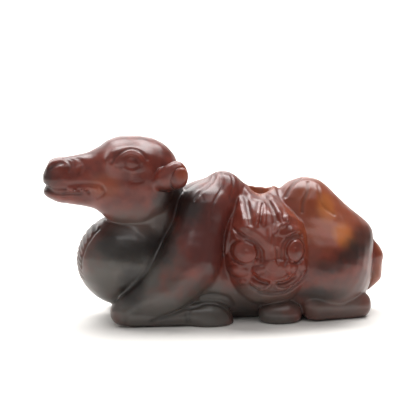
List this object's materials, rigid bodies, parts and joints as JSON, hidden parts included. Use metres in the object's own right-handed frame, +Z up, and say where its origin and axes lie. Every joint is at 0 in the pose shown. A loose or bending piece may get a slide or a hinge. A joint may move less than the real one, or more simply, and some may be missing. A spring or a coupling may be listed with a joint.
{
  "type": "camel carving",
  "caption": "Small polished stone carving of a recumbent two-humped camel, drilled for a cord, with a beast-mask saddlebag on each flank.",
  "frame": {"origin": "on the ground plane, on the middle plane, 38 mm behind the muzzle: the middle of the length", "axes": "+Z up, the head looks along -X, the tail is at +X, the flanks face -Y and +Y"},
  "size_m": [0.0761, 0.0318, 0.04],
  "materials": {
    "stone": "polished"
  },
  "bodies": {
    "root": {"camel_carving": "stone"}
  },
  "joints": []
}
